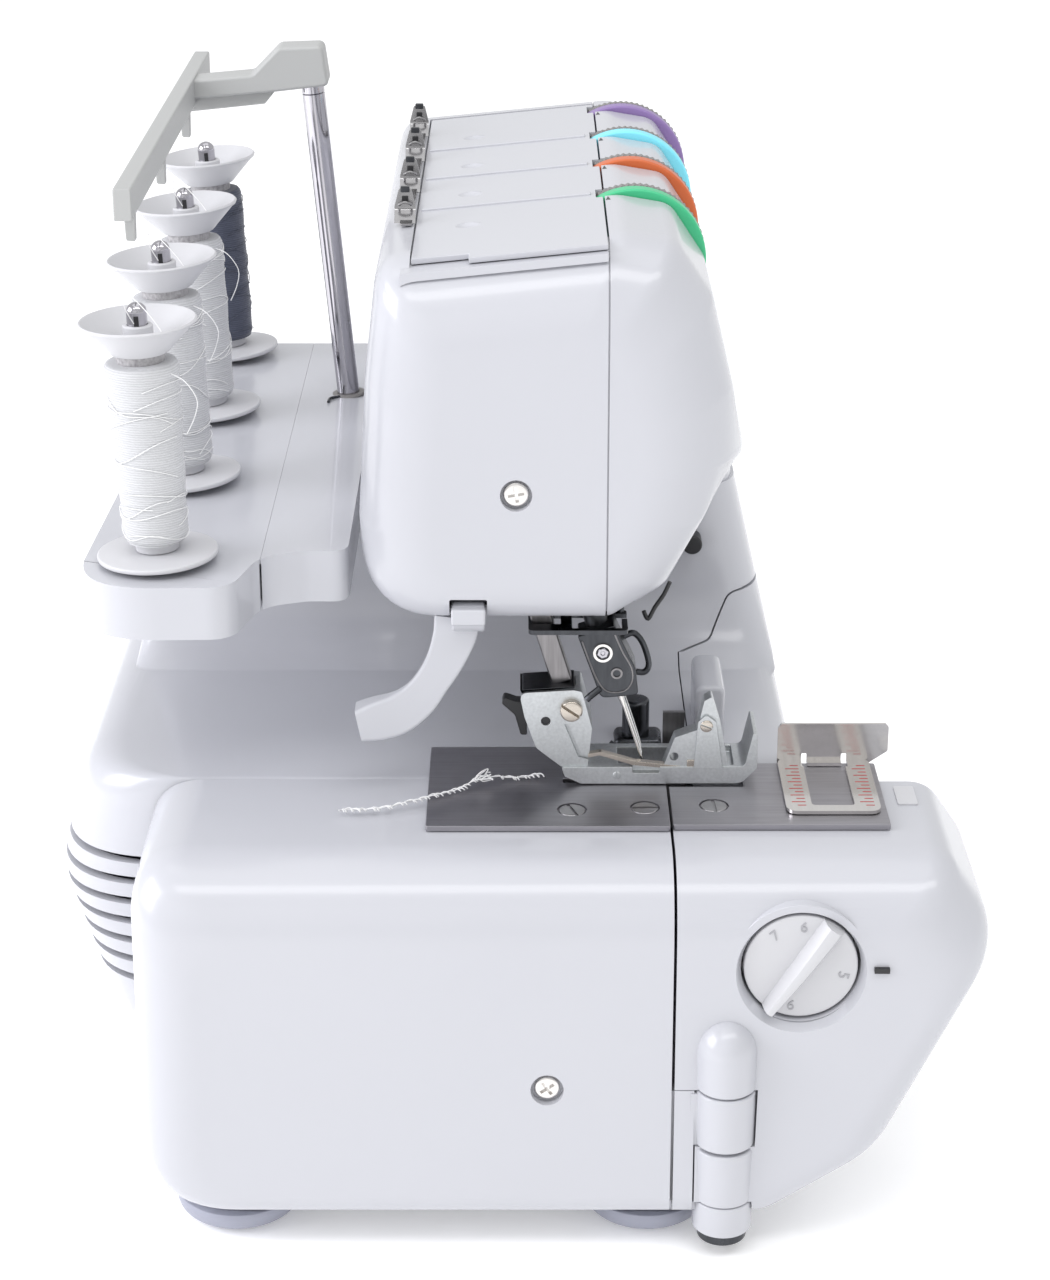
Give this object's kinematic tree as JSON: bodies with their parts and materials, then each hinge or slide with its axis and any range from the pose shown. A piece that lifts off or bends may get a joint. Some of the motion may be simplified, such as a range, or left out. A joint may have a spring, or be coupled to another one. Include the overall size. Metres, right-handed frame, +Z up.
{
  "type": "serger overlock machine",
  "caption": "Compact overlock machine with a free arm, head with tension dials, thread cones on a rear deck, telescopic thread antenna, swing-out cloth cover and fold-down looper cover.",
  "frame": {"origin": "on the table under the middle of the machine's bounding box", "axes": "+X to the handwheel end, +Y to the back where the thread cones stand, +Z up"},
  "size_m": [0.328, 0.2907, 0.3285],
  "materials": {
    "white_plastic": "glossy moulded white",
    "grey_plastic": "satin warm grey",
    "black_plastic": "satin black",
    "foot_rubber": "pale grey soft foot",
    "green_plastic": "satin green",
    "orange_plastic": "satin orange",
    "cyan_plastic": "satin cyan",
    "purple_plastic": "satin purple",
    "satin_steel": "satin plated plate",
    "bright_steel": "polished",
    "dark_steel": "dark hardened",
    "cast_metal": "bead-blasted casting",
    "belt_rubber": "moulded",
    "white_thread": "wound polyester thread",
    "grey_thread": "wound polyester thread"
  },
  "bodies": {
    "machine": {"foot_1": "foot_rubber", "foot_2": "foot_rubber", "foot_3": "foot_rubber", "foot_4": "foot_rubber", "bottom_tray": "white_plastic", "main_casing": "white_plastic", "left_cover": "white_plastic", "hinge_pin": "bright_steel", "needle_plate": "satin_steel", "head_casing": "white_plastic", "head_front_cover": "white_plastic", "thread_channel_cover": "white_plastic", "thread_guide_rail": "bright_steel", "drive_belt": "belt_rubber", "motor": "dark_steel", "power_inlet": "black_plastic", "spool_deck": "white_plastic", "deck_shelf": "white_plastic", "spool_holder_1": "white_plastic", "spool_holder_2": "white_plastic", "spool_holder_3": "white_plastic", "spool_holder_4": "white_plastic", "antenna_pole": "bright_steel", "thread_chain": "white_thread"},
    "cloth_cover": {"cloth_plate_cover": "white_plastic", "cloth_plate": "satin_steel"},
    "seam_guide": {"seam_guide": "bright_steel"},
    "width_dial": {"cutting_width_dial": "white_plastic"},
    "looper_door": {"looper_cover": "white_plastic"},
    "lifter": {"presser_lifter": "white_plastic"},
    "presser": {"presser_bar": "satin_steel", "presser_foot": "cast_metal"},
    "foot_release": {"foot_release": "black_plastic"},
    "needle_bar": {"needle_bar": "dark_steel", "needle_left": "bright_steel", "needle_right": "bright_steel"},
    "upper_looper": {"upper_looper": "dark_steel"},
    "lower_looper": {"lower_looper": "dark_steel"},
    "upper_knife": {"upper_knife": "dark_steel"},
    "feed_dog": {"feed_dog": "dark_steel"},
    "handwheel": {"handwheel": "white_plastic", "main_shaft": "bright_steel"},
    "motor_pulley": {"motor_pulley": "bright_steel"},
    "stitch_dial": {"stitch_length_dial": "white_plastic"},
    "feed_dial": {"differential_feed_dial": "white_plastic"},
    "switch": {"power_switch": "black_plastic"},
    "antenna": {"antenna_arm": "grey_plastic"},
    "tension_1": {"tension_dial_1": "green_plastic"},
    "spool_1": {"thread_spool_1": "white_thread"},
    "cap_1": {"spool_cap_1": "white_plastic"},
    "tension_2": {"tension_dial_2": "orange_plastic"},
    "spool_2": {"thread_spool_2": "white_thread"},
    "cap_2": {"spool_cap_2": "white_plastic"},
    "tension_3": {"tension_dial_3": "cyan_plastic"},
    "spool_3": {"thread_spool_3": "white_thread"},
    "cap_3": {"spool_cap_3": "white_plastic"},
    "tension_4": {"tension_dial_4": "purple_plastic"},
    "spool_4": {"thread_spool_4": "grey_thread"},
    "cap_4": {"spool_cap_4": "white_plastic"}
  },
  "joints": [
    {"name": "cloth_cover_swing", "type": "hinge", "parent": "machine", "child": "cloth_cover", "pos_m": [-0.15485, -0.0675, 0.04], "axis": [0, 0, -1], "range_deg": [0, 95]},
    {"name": "seam_guide_slide", "type": "slide", "parent": "cloth_cover", "child": "seam_guide", "axis": [1, 0, 0], "range_m": [-0.012, 0.004]},
    {"name": "cutting_width_turn", "type": "hinge", "parent": "cloth_cover", "child": "width_dial", "pos_m": [-0.15, -0.0889, 0.0968], "axis": [1, 0, 0], "range_deg": [-60, 60]},
    {"name": "looper_cover_fold", "type": "hinge", "parent": "machine", "child": "looper_door", "pos_m": [0.024, -0.0925, 0.0245], "axis": [1, 0, 0], "range_deg": [0, 80]},
    {"name": "tension_turn_1", "type": "hinge", "parent": "machine", "child": "tension_1", "pos_m": [-0.023, -0.0412, 0.279], "axis": [1, 0, 0], "range_deg": [-150, 150]},
    {"name": "tension_turn_2", "type": "hinge", "parent": "machine", "child": "tension_2", "pos_m": [0.02, -0.0412, 0.279], "axis": [1, 0, 0], "range_deg": [-150, 150]},
    {"name": "tension_turn_3", "type": "hinge", "parent": "machine", "child": "tension_3", "pos_m": [0.063, -0.0412, 0.279], "axis": [1, 0, 0], "range_deg": [-150, 150]},
    {"name": "tension_turn_4", "type": "hinge", "parent": "machine", "child": "tension_4", "pos_m": [0.106, -0.0412, 0.279], "axis": [1, 0, 0], "range_deg": [-150, 150]},
    {"name": "presser_lifter_turn", "type": "hinge", "parent": "machine", "child": "lifter", "pos_m": [-0.1, 0.01, 0.1878], "axis": [0, 1, 0], "range_deg": [0, 60]},
    {"name": "presser_lift", "type": "slide", "parent": "machine", "child": "presser", "axis": [0, 0.2924, 0.9563], "range_m": [0, 0.006]},
    {"name": "foot_release_press", "type": "hinge", "parent": "presser", "child": "foot_release", "pos_m": [-0.084, -0.0062, 0.148], "axis": [1, 0, 0], "range_deg": [0, 12], "stiffness_Nm_per_rad": 0.01},
    {"name": "needle_bar_stroke", "type": "slide", "parent": "machine", "child": "needle_bar", "axis": [0, 0.309, 0.9511], "range_m": [-0.01, 0.018]},
    {"name": "upper_looper_stroke", "type": "slide", "parent": "machine", "child": "upper_looper", "axis": [0, 0, 1], "range_m": [-0.006, 0.008]},
    {"name": "lower_looper_swing", "type": "hinge", "parent": "machine", "child": "lower_looper", "pos_m": [-0.094, -0.026, 0.082], "axis": [1, 0, 0], "range_deg": [-10, 8]},
    {"name": "upper_knife_stroke", "type": "slide", "parent": "machine", "child": "upper_knife", "axis": [0, 0, 1], "range_m": [-0.004, 0.006]},
    {"name": "feed_dog_stroke", "type": "slide", "parent": "machine", "child": "feed_dog", "axis": [0, 1, 0], "range_m": [-0.003, 0.003]},
    {"name": "handwheel_turn", "type": "hinge", "parent": "machine", "child": "handwheel", "pos_m": [0.144, 0.018, 0.072], "axis": [1, 0, 0], "continuous": true},
    {"name": "motor_pulley_turn", "type": "hinge", "parent": "machine", "child": "motor_pulley", "pos_m": [0.104, 0.092, 0.058], "axis": [1, 0, 0], "continuous": true},
    {"name": "stitch_length_turn", "type": "hinge", "parent": "machine", "child": "stitch_dial", "pos_m": [0.14, -0.052, 0.064], "axis": [1, 0, 0], "range_deg": [-135, 135]},
    {"name": "differential_feed_turn", "type": "hinge", "parent": "machine", "child": "feed_dial", "pos_m": [0.14, -0.052, 0.106], "axis": [1, 0, 0], "range_deg": [-135, 135]},
    {"name": "power_switch_rock", "type": "hinge", "parent": "machine", "child": "switch", "pos_m": [0.133, 0.077, 0.051], "axis": [0, 0, 1], "range_deg": [0, 10]},
    {"name": "antenna_raise", "type": "slide", "parent": "machine", "child": "antenna", "axis": [0, 0.088, 0.9961], "range_m": [0, 0.09]},
    {"name": "spool_turn_1", "type": "hinge", "parent": "machine", "child": "spool_1", "pos_m": [-0.095, 0.1035, 0.204], "axis": [0, 0.0349, 0.9994], "continuous": true},
    {"name": "spool_cap_lift_1", "type": "slide", "parent": "machine", "child": "cap_1", "axis": [0, 0.0349, 0.9994], "range_m": [0, 0.017]},
    {"name": "spool_turn_2", "type": "hinge", "parent": "machine", "child": "spool_2", "pos_m": [-0.0217, 0.1035, 0.204], "axis": [0, 0.0593, 0.9982], "continuous": true},
    {"name": "spool_cap_lift_2", "type": "slide", "parent": "machine", "child": "cap_2", "axis": [0, 0.0593, 0.9982], "range_m": [0, 0.017]},
    {"name": "spool_turn_3", "type": "hinge", "parent": "machine", "child": "spool_3", "pos_m": [0.0516, 0.1035, 0.204], "axis": [0, 0.068, 0.9977], "continuous": true},
    {"name": "spool_cap_lift_3", "type": "slide", "parent": "machine", "child": "cap_3", "axis": [0, 0.068, 0.9977], "range_m": [0, 0.017]},
    {"name": "spool_turn_4", "type": "hinge", "parent": "machine", "child": "spool_4", "pos_m": [0.125, 0.1035, 0.204], "axis": [0, 0.0732, 0.9973], "continuous": true},
    {"name": "spool_cap_lift_4", "type": "slide", "parent": "machine", "child": "cap_4", "axis": [0, 0.0732, 0.9973], "range_m": [0, 0.017]}
  ],
  "couplings": [
    {"joint": "presser_lifter_turn", "follows": "presser_lift", "rad_per_m": 174.5},
    {"joint": "motor_pulley_turn", "follows": "handwheel_turn", "ratio": 2.857}
  ]
}
